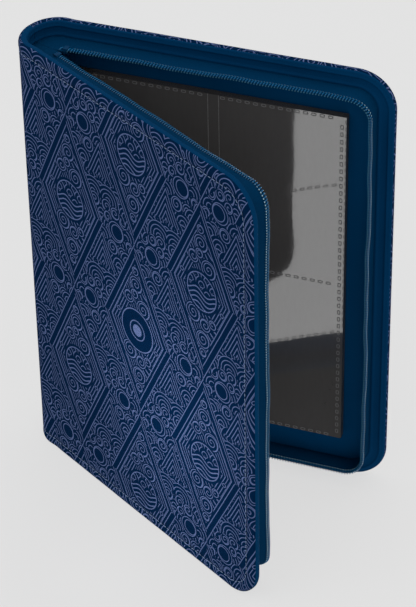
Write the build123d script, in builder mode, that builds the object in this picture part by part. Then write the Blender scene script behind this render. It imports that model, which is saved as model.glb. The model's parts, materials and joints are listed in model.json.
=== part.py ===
from build123d import *
import math
import os

# A zip-up album for trading cards, standing half open on its lower edges.
# Millimetres and degrees. +Z is up, the back cover lies along +X and faces +Y.

# Covers and spine
HEIGHT = 250.0
WIDTH = 184.0            # closed, from the round of the spine to the fore-edge
THICKNESS = 36.5         # closed, from outer face to outer face
SPINE_DEPTH = 15.8       # from the fold lines to the round of the spine
CORNER_RADIUS = 20.0
OPENING = 30.7           # angle between the two covers
PANEL = WIDTH - SPINE_DEPTH
SEAM = 0.15              # half of the gap left along each fold line

# Depths in a cover, measured inward from its outer face
SKIN = 0.7
FOAM = 1.7
BOARD = 3.7
LINING = 4.3
BINDING = 4.5
SKIN_WRAP = 2.3          # how far the skin comes round the edge
EDGE_ROUND = 1.6
RIM = 0.8                # thickness of skin and binding around the board's edge

# Rings on a cover's inner border, as distances in from its edge
BINDING_IN = 3.2
FLANGE_IN = 9.0
FLANGE_FACE = 4.6
PIPING_OUT = 7.1
PIPING_IN = 8.3
PIPING_FACE = 5.6
PIPING_ROUND = 0.45
TAPE_MID = 9.16
TAPE_THICK = 0.9
TAPE_TOP = 15.3
COIL_THICK = 1.9
COIL_TOP = 17.2
COIL_ROUND = 0.6
STOP_LENGTH = 2.6
STOP_THICK = 2.3
STOP_TOP = 17.4
STOP_BASE = 13.9
STOP_ROUND = 0.4
CAP_END = 2.8            # how far the spine's end caps stop short of the fold lines

# Leaves
LEAVES_PER_COVER = 10
LEAF_PITCH = 0.36
FIRST_LEAF = 4.6         # depth of the outermost leaf when the album is closed
CORE = 0.16
FILM = 0.07
LEAF_BOTTOM = 26.5
LEAF_TOP = 226.0
LEAF_EDGE = 145.2        # free edge, from the fold line
LEAF_CORNER = 0.6
MOUTH_LOW = 73.5         # free edges of the pocket films, from the fold line
MOUTH_HIGH = 79.2
FILM_START = 8.5
PIVOT_CLEAR = 0.05

# Binding strip
STRIP_HALF = 8.0
STRIP_BASE = 8.3
WING_GAP = 0.35
WING_FOOT_HIGH = 9.0
WING_FOOT_LOW = 12.0
STRIP_MARGIN = 2.5       # width beyond the row of leaf folds, both sides together

# Zip slider
SLIDER_START = 6.0       # middle of the parked slider, from the fold line
SLIDER_GAP = 0.6         # between the coil and each plate
PLATE = 1.0
SLIDER_LENGTH = 11.0
NOSE_WIDTH = 9.0
TAIL_WIDTH = 6.6
PLATE_ROUND = 1.2
POST_WIDTH = 1.4
POST_LENGTH = 3.2
POST_SETBACK = 0.4       # from the nose end of the plates
BRIDGE_WIDTH = 1.6
BRIDGE_LENGTH = 7.0
BRIDGE_HEIGHT = 2.6
BRIDGE_BAR = 0.8
BRIDGE_LEG = 1.1
PULL_AXIS = 0.95         # below the outer plate
PULL_LENGTH = 26.0
PULL_START = 4.6
PULL_WIDTH = 7.0
PULL_THICK = 1.0
PULL_ROUND = 2.2
PULL_HOLE = 1.4          # radius
PULL_HOLE_IN = 3.4       # from the pull's end to the hole's middle
PULL_TILT = 10.5
PIN_RADIUS = 0.42
ARM_WIDTH = 1.0
ARM_GAP = 0.4
ARM_LAP = 1.0            # how far each arm runs into the tab

# Where the folds are: the origin is the middle of the base of the whole standing album
HALF_ANGLE = math.radians(OPENING / 2)
FULL_ANGLE = math.radians(OPENING)
SPINE_REACH = THICKNESS / 2 * math.sin(HALF_ANGLE) + math.hypot(
    SPINE_DEPTH * math.cos(HALF_ANGLE), THICKNESS / 2 * math.sin(HALF_ANGLE)
)
FRONT_REACH = (
    THICKNESS * math.cos(HALF_ANGLE)
    + (PANEL - EDGE_ROUND) * math.sin(FULL_ANGLE)
    + EDGE_ROUND * (1 - math.cos(FULL_ANGLE))
)
FOLD_X = (SPINE_REACH - PANEL) / 2
FOLD_Y = FRONT_REACH / 2
MIDDLE = HEIGHT / 2


def spine_point(forward, across, height):
    """A point given from the back fold, in the spine's own directions, as the album stands."""
    return (
        FOLD_X + forward * math.cos(HALF_ANGLE) + across * math.sin(HALF_ANGLE),
        FOLD_Y - forward * math.sin(HALF_ANGLE) + across * math.cos(HALF_ANGLE),
        height,
    )


BACK = Plane(origin=spine_point(0, 0, MIDDLE), x_dir=(1, 0, 0), z_dir=(0, -1, 0))
FRONT = Plane(
    origin=spine_point(0, -THICKNESS, MIDDLE),
    x_dir=(math.cos(FULL_ANGLE), -math.sin(FULL_ANGLE), 0),
    z_dir=(math.sin(FULL_ANGLE), math.cos(FULL_ANGLE), 0),
)
SPINE = Plane(
    origin=spine_point(0, 0, 0),
    x_dir=(math.cos(HALF_ANGLE), -math.sin(HALF_ANGLE), 0),
    z_dir=(0, 0, 1),
)


def save(builder, name):
    """Label a finished piece and write it."""
    builder.part.label = name
    export_step(builder.part, f"parts/{name}.step")


# Outlines drawn in a cover's plane: across from the fold line, up from mid-height


def rounded(inset, mode=Mode.ADD):
    """A cover's outline drawn in by inset, running on past the fold line."""
    reach = PANEL + 3 * CORNER_RADIUS
    with Locations((PANEL - inset - reach / 2, 0)):
        RectangleRounded(reach, HEIGHT - 2 * inset, CORNER_RADIUS - inset, mode=mode)


def clip_at_fold():
    """Keep only what lies on the cover's side of the fold line."""
    with Locations((SEAM + WIDTH / 2, 0)):
        Rectangle(WIDTH, 2 * HEIGHT, mode=Mode.INTERSECT)


def panel_sheet(inset):
    """The whole area inside a cover's edge."""
    rounded(inset)
    clip_at_fold()


def border(outer, inner):
    """A band along the three free edges, from one inset to another."""
    rounded(outer)
    rounded(inner, Mode.SUBTRACT)
    clip_at_fold()


def make_sheet(plane, name, inset, low, high):
    """A flat layer of a cover between two depths."""
    with BuildPart() as sheet:
        with BuildSketch(plane.offset(low)):
            panel_sheet(inset)
        extrude(amount=high - low)
    save(sheet, name)


def make_band(plane, name, outer, inner, low, high, rounding=0.0):
    """A raised band along the free edges, with its top edges rounded."""
    with BuildPart() as band:
        with BuildSketch(plane.offset(low)):
            border(outer, inner)
        extrude(amount=high - low)
        if rounding:
            fillet(band.faces().sort_by(Axis(plane.origin, plane.z_dir))[-1].edges(), rounding)
    save(band, name)


def make_skin(plane, name):
    """The printed skin: a sheet with its edge turned in over the board."""
    with BuildPart() as skin:
        with BuildSketch(plane):
            panel_sheet(0)
        extrude(amount=SKIN_WRAP)
        outer = skin.faces().sort_by(Axis(plane.origin, plane.z_dir))[0]
        fold_edge = outer.edges().sort_by(Axis(plane.origin, plane.x_dir))[0]
        fillet([edge for edge in outer.edges() if edge != fold_edge], EDGE_ROUND)
        with BuildSketch(plane.offset(SKIN)):
            panel_sheet(RIM)
        extrude(amount=SKIN_WRAP - SKIN, mode=Mode.SUBTRACT)
    save(skin, name)


def make_edge_binding(plane, name):
    """The binding: a rim beside the board, turned over onto the inner face."""
    with BuildPart() as binding:
        with BuildSketch(plane.offset(SKIN_WRAP)):
            border(0, RIM)
        extrude(amount=BINDING - SKIN_WRAP)
        with BuildSketch(plane.offset(BOARD)):
            border(RIM, BINDING_IN)
        extrude(amount=BINDING - BOARD)
    save(binding, name)


def make_stops(plane, name):
    """A small clamp on each end of the coil."""
    with BuildPart() as stops:
        with BuildSketch(plane.offset(STOP_BASE)):
            with Locations(
                (SEAM + STOP_LENGTH / 2, MIDDLE - TAPE_MID),
                (SEAM + STOP_LENGTH / 2, TAPE_MID - MIDDLE),
            ):
                RectangleRounded(STOP_LENGTH, STOP_THICK, STOP_ROUND)
        extrude(amount=STOP_TOP - STOP_BASE)
        with BuildSketch(plane.offset(STOP_BASE)):
            border(TAPE_MID - TAPE_THICK / 2, TAPE_MID + TAPE_THICK / 2)
        extrude(amount=TAPE_TOP - STOP_BASE, mode=Mode.SUBTRACT)
        with BuildSketch(plane.offset(TAPE_TOP)):
            border(TAPE_MID - COIL_THICK / 2, TAPE_MID + COIL_THICK / 2)
        extrude(amount=COIL_TOP - TAPE_TOP, mode=Mode.SUBTRACT)
    save(stops, name)


def make_cover(plane, side):
    """Every piece that moves with one cover."""
    make_skin(plane, f"{side}_cover_skin")
    make_sheet(plane, f"{side}_cover_foam", RIM, SKIN, FOAM)
    make_sheet(plane, f"{side}_cover_board", RIM, FOAM, BOARD)
    make_sheet(plane, f"{side}_cover_lining", FLANGE_IN, BOARD, LINING)
    make_edge_binding(plane, f"{side}_edge_binding")
    make_band(plane, f"{side}_zip_flange", BINDING_IN, FLANGE_IN, BOARD, FLANGE_FACE)
    make_band(plane, f"{side}_piping", PIPING_OUT, PIPING_IN, FLANGE_FACE, PIPING_FACE, PIPING_ROUND)
    tape_out = TAPE_MID - TAPE_THICK / 2
    make_band(plane, f"{side}_zip_tape", tape_out, tape_out + TAPE_THICK, FLANGE_FACE, TAPE_TOP)
    coil_out = TAPE_MID - COIL_THICK / 2
    make_band(plane, f"{side}_zip_coil", coil_out, coil_out + COIL_THICK, TAPE_TOP, COIL_TOP, COIL_ROUND)
    make_stops(plane, f"{side}_zip_stops")


# Outlines drawn in the spine's horizontal plane: forward from the folds, across from the back fold


def spine_oval(depth, mode=Mode.ADD):
    """The spine's section at a depth inside its outer face."""
    with Locations((0, -THICKNESS / 2)):
        Ellipse(SPINE_DEPTH - depth, THICKNESS / 2 - depth, mode=mode)


def clip_behind(forward):
    """Keep only what lies behind a line across the spine."""
    with Locations((forward - SPINE_DEPTH, -THICKNESS / 2)):
        Rectangle(2 * SPINE_DEPTH, 2 * THICKNESS, mode=Mode.INTERSECT)


def spine_shell(outer, inner):
    """A curved layer of the spine between two depths."""
    spine_oval(outer)
    spine_oval(inner, Mode.SUBTRACT)
    clip_behind(-SEAM)


def make_spine_layer(name, outer, inner, bands):
    """Curved layers of the spine, one for each band of height."""
    with BuildPart() as layer:
        for low, high in bands:
            with BuildSketch(SPINE.offset(low)):
                spine_shell(outer, inner)
            extrude(amount=high - low)
    save(layer, name)


def both_ends(low, high):
    """A band of height near the base and its mirror image near the top."""
    return [(low, high), (HEIGHT - high, HEIGHT - low)]


def make_spine_skin():
    """The printed skin of the spine, turned in a little at each end."""
    with BuildPart() as skin:
        with BuildSketch(SPINE):
            spine_shell(0, SKIN)
        extrude(amount=HEIGHT)
        for low, high in both_ends(0, RIM):
            with BuildSketch(SPINE.offset(low)):
                spine_shell(SKIN, SKIN_WRAP)
            extrude(amount=high - low)
    save(skin, "spine_skin")


def make_spine_binding():
    """The binding over the spine's top and bottom edges."""
    with BuildPart() as binding:
        for low, high in both_ends(0, RIM):
            with BuildSketch(SPINE.offset(low)):
                spine_shell(SKIN_WRAP, BINDING)
            extrude(amount=high - low)
        for low, high in both_ends(RIM, BINDING_IN):
            with BuildSketch(SPINE.offset(low)):
                spine_shell(BOARD, BINDING)
            extrude(amount=high - low)
    save(binding, "spine_binding")


def make_spine_cap(name, low):
    """The D-shaped gusset that closes one end of the spine."""
    with BuildPart() as cap:
        with BuildSketch(SPINE.offset(low)):
            spine_oval(LINING)
            clip_behind(-CAP_END)
        extrude(amount=TAPE_THICK)
    save(cap, name)


def make_binding_strip():
    """A pad on the spine lining with two wings that carry the leaves."""
    last_leaf = FIRST_LEAF + (LEAVES_PER_COVER - 1) * LEAF_PITCH
    wing = [
        (FIRST_LEAF - WING_GAP, -FIRST_LEAF - WING_GAP),
        (last_leaf - WING_GAP, -last_leaf - WING_GAP),
        (-STRIP_BASE, -WING_FOOT_LOW),
        (-STRIP_BASE, -WING_FOOT_HIGH),
    ]
    with BuildPart() as strip:
        with BuildSketch(SPINE.offset(LEAF_BOTTOM)):
            spine_oval(LINING)
            with Locations((-STRIP_BASE - SPINE_DEPTH / 2, -THICKNESS / 2)):
                Rectangle(SPINE_DEPTH, 2 * STRIP_HALF + STRIP_MARGIN, mode=Mode.INTERSECT)
            with BuildLine():
                Polyline(*wing, close=True)
            make_face()
            with BuildLine():
                Polyline(*[(forward, -THICKNESS - across) for forward, across in wing], close=True)
            make_face()
        extrude(amount=LEAF_TOP - LEAF_BOTTOM)
    save(strip, "binding_strip")


def make_spine():
    """Every piece that moves with the spine."""
    make_spine_skin()
    make_spine_layer("spine_insert", SKIN, BOARD, [(RIM, HEIGHT - RIM)])
    make_spine_layer("spine_lining", BOARD, LINING, [(FLANGE_IN, HEIGHT - FLANGE_IN)])
    make_spine_binding()
    make_spine_layer("spine_flange", BOARD, FLANGE_FACE, both_ends(BINDING_IN, FLANGE_IN - TAPE_THICK / 2))
    make_spine_layer("spine_piping", FLANGE_FACE, PIPING_FACE, both_ends(PIPING_OUT, PIPING_IN))
    make_spine_cap("spine_cap_bottom", TAPE_MID - TAPE_THICK / 2)
    make_spine_cap("spine_cap_top", HEIGHT - TAPE_MID - TAPE_THICK / 2)
    make_binding_strip()


def leaf_plane(index, across_sign):
    """A leaf's middle plane, its origin on the leaf's own fold line at the leaf's mid-height."""
    depth = FIRST_LEAF + index * LEAF_PITCH
    height = (LEAF_BOTTOM + LEAF_TOP) / 2
    if across_sign < 0:
        return Plane(origin=spine_point(depth, -depth, height), x_dir=BACK.x_dir, z_dir=BACK.z_dir)
    return Plane(origin=spine_point(depth, depth - THICKNESS, height), x_dir=FRONT.x_dir, z_dir=FRONT.z_dir)


def make_leaf(name, plane, shift):
    """A leaf: a core sheet with two pocket films on each face. Shift is its fold's distance from the cover's."""
    tall = LEAF_TOP - LEAF_BOTTOM
    with BuildPart() as leaf:
        with BuildSketch(plane.offset(-CORE / 2)):
            width = LEAF_EDGE - shift - PIVOT_CLEAR
            with Locations((PIVOT_CLEAR + width / 2, 0)):
                Rectangle(width, tall)
        extrude(amount=CORE)
        with BuildSketch(plane.offset(-CORE / 2 - FILM)):
            for low, high in ((FILM_START, MOUTH_LOW), (MOUTH_HIGH, LEAF_EDGE)):
                with Locations(((low + high) / 2 - shift, 0)):
                    Rectangle(high - low, tall)
        extrude(amount=CORE + 2 * FILM)
        corners = leaf.edges().filter_by(Axis(plane.origin, plane.z_dir))
        fillet(corners.group_by(Axis(plane.origin, plane.x_dir))[-1], LEAF_CORNER)
    save(leaf, name)


def make_leaves():
    """The leaves that stay with the back cover, then those that stay with the front cover."""
    for index in range(LEAVES_PER_COVER):
        for across_sign, cover, first in ((-1, BACK, 1), (1, FRONT, LEAVES_PER_COVER + 1)):
            plane = leaf_plane(index, across_sign)
            shift = (plane.origin - cover.origin).dot(cover.x_dir)
            number = first + (index if across_sign < 0 else LEAVES_PER_COVER - 1 - index)
            make_leaf(f"leaf_{number:02d}", plane, shift)


# The slider is drawn in horizontal planes: along the bottom chain from the fold, across from the back fold
CHAIN_LOW = TAPE_MID - COIL_THICK / 2
CHAIN_HIGH = TAPE_MID + COIL_THICK / 2
PLATE_LOW = CHAIN_LOW - SLIDER_GAP - PLATE
PLATE_HIGH = CHAIN_HIGH + SLIDER_GAP
SLIDER_CENTRE = (FOLD_X + SLIDER_START, FOLD_Y - THICKNESS / 2)


def slider_plane(height):
    """A horizontal plane at a height, with its origin in the middle of the slider."""
    return Plane(origin=(*SLIDER_CENTRE, height), x_dir=(1, 0, 0), z_dir=(0, 0, 1))


def plate_corners():
    """The corners of one slider plate, wider at its nose."""
    half = SLIDER_LENGTH / 2
    shoulder = half - 4
    return [
        (-half, -TAIL_WIDTH / 2),
        (shoulder, -NOSE_WIDTH / 2),
        (half, -NOSE_WIDTH / 2),
        (half, NOSE_WIDTH / 2),
        (shoulder, NOSE_WIDTH / 2),
        (-half, TAIL_WIDTH / 2),
    ]


def make_slider_body():
    """Two plates joined by a post, with a bridge for the pull under the outer plate."""
    with BuildPart() as body:
        for height in (PLATE_LOW, PLATE_HIGH):
            with BuildSketch(slider_plane(height)):
                with BuildLine():
                    FilletPolyline(*plate_corners(), radius=PLATE_ROUND, close=True)
                make_face()
            extrude(amount=PLATE)
        with BuildSketch(slider_plane(PLATE_LOW)):
            with Locations((SLIDER_LENGTH / 2 - POST_LENGTH / 2 - POST_SETBACK, 0)):
                RectangleRounded(POST_LENGTH, POST_WIDTH, 0.5)
        extrude(amount=PLATE_HIGH - PLATE_LOW)
        side = Plane(
            origin=(SLIDER_CENTRE[0], SLIDER_CENTRE[1] + BRIDGE_WIDTH / 2, PLATE_LOW),
            x_dir=(1, 0, 0),
            z_dir=(0, -1, 0),
        )
        with BuildSketch(side):
            with Locations((0, -BRIDGE_HEIGHT / 2)):
                Rectangle(BRIDGE_LENGTH, BRIDGE_HEIGHT)
            with Locations((0, (BRIDGE_BAR - BRIDGE_HEIGHT) / 2)):
                Rectangle(BRIDGE_LENGTH - 2 * BRIDGE_LEG, BRIDGE_HEIGHT - BRIDGE_BAR, mode=Mode.SUBTRACT)
        extrude(amount=BRIDGE_WIDTH)
    save(body, "zip_slider_body")


def make_pull_tab():
    """A flat tab on two arms, with a pin that passes through the slider's bridge."""
    tilt = math.radians(PULL_TILT)
    axis_point = (SLIDER_CENTRE[0], SLIDER_CENTRE[1], PLATE_LOW - PULL_AXIS)
    flat = Plane(
        origin=axis_point,
        x_dir=(math.cos(tilt), 0, -math.sin(tilt)),
        z_dir=(math.sin(tilt), 0, math.cos(tilt)),
    )
    span = BRIDGE_WIDTH + 2 * ARM_GAP + 2 * ARM_WIDTH
    with BuildPart() as pull:
        with BuildSketch(flat.offset(-PULL_THICK / 2)):
            with Locations(((PULL_START + PULL_LENGTH) / 2, 0)):
                RectangleRounded(PULL_LENGTH - PULL_START, PULL_WIDTH, PULL_ROUND)
            with Locations((PULL_LENGTH - PULL_HOLE_IN, 0)):
                Circle(PULL_HOLE, mode=Mode.SUBTRACT)
            for side in (-1, 1):
                with Locations((PULL_START / 2, side * (span - ARM_WIDTH) / 2)):
                    Rectangle(PULL_START + ARM_LAP, ARM_WIDTH)
        extrude(amount=PULL_THICK)
        across = Plane(
            origin=(axis_point[0], axis_point[1] + span / 2, axis_point[2]),
            x_dir=(1, 0, 0),
            z_dir=(0, -1, 0),
        )
        with BuildSketch(across):
            Circle(PIN_RADIUS)
        extrude(amount=span)
    save(pull, "zip_pull_tab")


os.makedirs("parts", exist_ok=True)
make_cover(BACK, "back")
make_cover(FRONT, "front")
make_spine()
make_leaves()
make_slider_body()
make_pull_tab()
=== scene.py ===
"""Looks of the trading card binder: cloth covers, zip gusset, pocket leaves, light and camera."""

import json
import math

import bmesh
import bpy
import numpy as np
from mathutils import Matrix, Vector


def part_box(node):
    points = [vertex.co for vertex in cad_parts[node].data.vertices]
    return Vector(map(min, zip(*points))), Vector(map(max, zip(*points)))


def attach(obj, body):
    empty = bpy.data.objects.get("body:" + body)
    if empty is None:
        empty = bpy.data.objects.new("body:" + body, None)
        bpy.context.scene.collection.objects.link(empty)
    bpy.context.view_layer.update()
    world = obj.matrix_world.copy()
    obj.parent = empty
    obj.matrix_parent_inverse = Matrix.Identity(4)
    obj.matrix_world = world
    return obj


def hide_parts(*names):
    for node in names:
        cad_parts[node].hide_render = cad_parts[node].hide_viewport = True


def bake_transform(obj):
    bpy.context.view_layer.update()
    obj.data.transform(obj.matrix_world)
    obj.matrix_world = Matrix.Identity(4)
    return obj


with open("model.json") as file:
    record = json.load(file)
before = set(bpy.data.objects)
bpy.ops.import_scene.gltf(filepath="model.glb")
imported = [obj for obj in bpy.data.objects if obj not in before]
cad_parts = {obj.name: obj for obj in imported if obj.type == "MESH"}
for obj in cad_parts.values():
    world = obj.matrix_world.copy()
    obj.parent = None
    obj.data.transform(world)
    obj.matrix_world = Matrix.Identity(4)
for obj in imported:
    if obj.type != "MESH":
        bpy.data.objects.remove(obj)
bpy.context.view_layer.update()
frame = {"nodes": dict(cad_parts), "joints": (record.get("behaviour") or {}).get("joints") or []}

# ---------------------------------------------------------------- sizes, in metres
JOINTS = {joint["name"]: joint for joint in frame["joints"]}
BACK_FOLD = np.array(JOINTS["spine_fold"]["pos_m"])
FRONT_FOLD = np.array(JOINTS["front_fold"]["pos_m"])
ACROSS = BACK_FOLD - FRONT_FOLD
THICK = float(np.hypot(ACROSS[0], ACROSS[1]))
HALF = math.atan2(ACROSS[0], ACROSS[1])
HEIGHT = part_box("back_cover_skin")[1].z
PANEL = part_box("back_cover_skin")[1].x - BACK_FOLD[0]
SPINE_DEPTH = 0.0158
CORNER = 0.020
CREASE = 0.0055
TAPE_INSET = 0.00916
TAPE_ROOT = 0.0042
TAPE_EDGE = 0.0152
TAPE_THICKNESS = 0.0007
CAP_LINES = 21
SEAM_GAP = 0.00003
FRONT_LEAN = 0.0009
SKIN_RUFFLE = 0.00010
CLOTH_RUFFLE = 0.00012
TAPE_RUFFLE = 0.00055
CROWN = 0.0003
COIL_PITCH = 0.00150
COIL_MIDDLE = 0.01585
COIL_REACH = 0.00136
COIL_HEIGHT = 0.00062
WIRE_RADIUS = 0.00029
FILLER_REACH = 0.0010
FILLER_HEIGHT = 0.00030
STITCH_LIFT = 0.00080
NEARBY = 0.0003
COIL_STITCH = (0.00080, 0.00056, 0.00022)
LINING = 0.0043
CREASE_REACH = 0.007
CREASE_RISE = 0.00056
STITCH_INSET = 0.0060
SEAM_PITCH = 0.0029
SEAM_SINK = 0.00016
SEAM_STITCH = (0.0022, 0.00048, 0.0004)
CORNER_STEPS = 14

MM = 0.001

# ---------------------------------------------------------------- strengths of the surroundings
SKY = 0.55
BELOW = 0.03
WINDOW = 7.8
WINDOW_WAY = (0.54, 0.60, -0.59)


# ---------------------------------------------------------------- camera, light and floor
def add_camera():
    """The viewpoint: above the fore-edge side, looking down at the half-open album."""
    data = bpy.data.cameras.new("camera")
    data.lens = 158.8
    data.sensor_width = 36.0
    data.clip_end = 60.0
    camera = bpy.data.objects.new("camera", data)
    camera.location = (0.39127, -1.00584, 0.91903)
    camera.rotation_euler = [math.radians(angle) for angle in (53.91, 0.82, 19.82)]
    bpy.context.scene.collection.objects.link(camera)
    bpy.context.scene.camera = camera


def add_area(name, place, aim, size, power, spread=180, glints=True):
    """A rectangular softbox that faces a point."""
    data = bpy.data.lights.new(name, "AREA")
    data.shape = "RECTANGLE"
    data.size, data.size_y = size
    data.energy = power
    data.spread = math.radians(spread)
    lamp = bpy.data.objects.new(name, data)
    lamp.location = place
    direction = np.array(aim, float) - np.array(place, float)
    yaw = math.atan2(-direction[0], direction[1])
    pitch = math.atan2(math.hypot(direction[0], direction[1]), -direction[2])
    lamp.rotation_euler = (pitch, 0.0, yaw)
    lamp.visible_camera = False
    lamp.visible_glossy = glints
    bpy.context.scene.collection.objects.link(lamp)


def add_world():
    """Even pale surroundings, and a bright low window behind the album for the glossy pages to show."""
    world = bpy.data.worlds.new("studio")
    world.use_nodes = True
    tree = world.node_tree
    background = tree.nodes["Background"]
    place = tree.nodes.new("ShaderNodeTexCoord")
    toward = tree.nodes.new("ShaderNodeVectorMath")
    toward.operation = "DOT_PRODUCT"
    toward.inputs[1].default_value = WINDOW_WAY
    tree.links.new(place.outputs["Generated"], toward.inputs[0])
    parts = tree.nodes.new("ShaderNodeSeparateXYZ")
    tree.links.new(place.outputs["Generated"], parts.inputs[0])
    window = ramp(Value(tree, toward.outputs["Value"]), 0.90, 0.985) * WINDOW
    above = ramp(Value(tree, parts.outputs[2]), -0.04, 0.02)
    strength = (window + BELOW) * (1.0 - above) + above * SKY
    background.inputs["Color"].default_value = (1.0, 1.0, 1.0, 1.0)
    tree.links.new(strength.socket, background.inputs["Strength"])
    bpy.context.scene.world = world
    bpy.context.scene.view_settings.view_transform = "Standard"


# ---------------------------------------------------------------- shader expressions
class Value:
    """A number in a material, worked out by Math nodes as Python works with it."""

    def __init__(self, tree, socket):
        self.tree = tree
        self.socket = socket

    def op(self, kind, *others):
        """One Math node with this value as its first input."""
        node = self.tree.nodes.new("ShaderNodeMath")
        node.operation = kind
        for index, item in enumerate((self, *others)):
            if isinstance(item, Value):
                self.tree.links.new(item.socket, node.inputs[index])
            else:
                node.inputs[index].default_value = item
        return Value(self.tree, node.outputs[0])

    def __add__(self, other):
        return self.op("ADD", other)

    def __sub__(self, other):
        return self.op("SUBTRACT", other)

    def __mul__(self, other):
        return self.op("MULTIPLY", other)

    __radd__ = __add__
    __rmul__ = __mul__

    def __rsub__(self, other):
        return (self * -1.0) + other

    def __abs__(self):
        return self.op("ABSOLUTE")


def sine(value):
    return value.op("SINE")


def root(value):
    return value.op("SQRT")


def larger(first, second):
    return first.op("MAXIMUM", second)


def repeat(value, period):
    """The value brought between minus and plus half a period."""
    return value.op("WRAP", period / 2, -period / 2)


def ramp(value, low, high):
    """0 below low, 1 above high."""
    return ((value - low) * (1.0 / (high - low))).op("MINIMUM", 1.0).op("MAXIMUM", 0.0)


def lay(under, over, mask):
    """under where mask is 0, over where it is 1."""
    return under + (over - under) * mask


# ---------------------------------------------------------------- the printed pattern, in millimetres
LINE = 0.46
SOFT = 0.09
PITCH = 2.2
CORNER_PITCH = 1.9
CELL_WIDE = 51.7
CELL_TALL = 52.0
RHOMB_WIDE = 24.8
RHOMB_TALL = 48.0
BOLD_BAND = 1.75
THIN_BAND = 0.85
PRINT_THREAD = 0.42
ROUNDEL = (95.4 - 15.8, -1.4)
ROUNDEL_RADIUS = 12.2


def stroke(distance, width=LINE):
    """1 on a line of that width, from the distance to its middle."""
    return 1.0 - ramp(distance, width / 2 - SOFT, width / 2 + SOFT)


def stripes(value, pitch, width=LINE):
    """Lines at every multiple of pitch."""
    return stroke(value.op("PINGPONG", pitch / 2), width)


def inside(distance, radius):
    """1 within a radius."""
    return 1.0 - ramp(distance, radius - SOFT, radius + SOFT)


def away(x, y, place_x, place_y):
    """Offsets and distance from a point."""
    dx = x - place_x
    dy = y - place_y
    return dx, dy, root(dx * dx + dy * dy)


def curl(under, x, y, place, radius, hand=1.0):
    """A spiral in a round frame, with a dark gap around it."""
    dx, dy, far = away(x, y, *place)
    winding = far + dy.op("ARCTAN2", dx) * (hand * PITCH / (2 * math.pi))
    drawn = larger(stripes(winding, PITCH) * inside(far, radius), stroke(abs(far - radius)))
    return lay(under, drawn, inside(far, radius + 1.0))


def bead(under, x, y, place, radius):
    """A plain dark disc with a ring that stands off to one side."""
    _, _, far = away(x, y, *place)
    _, _, off = away(x, y, place[0] + 1.0, place[1])
    outer_ring = stroke(abs(off - radius - 1.3)) * (1.0 - inside(far, radius))
    return lay(under, larger(stroke(abs(far - radius)), outer_ring), inside(off, radius + 2.4))


def fan(under, x, y, place, radius):
    """Concentric arches over a point."""
    _, dy, far = away(x, y, *place)
    return lay(under, stripes(far + 0.3, PITCH), inside(far, radius) * ramp(dy, -1.2, -1.0))


def scales(x, y, radius):
    """Rows of overlapping arches, the plain filling between the larger motifs."""
    lines = None
    for row in range(2):
        low = repeat(y - row * radius, 2 * radius) + radius
        dx = repeat(x + row * radius, 2 * radius)
        far = root(dx * dx + low * low * 0.8)
        arch = stripes(far, PITCH)
        shape = inside(far, radius * 1.05)
        lines = arch if lines is None else lay(lines, arch, shape * inside(low, radius))
    return lines


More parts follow.
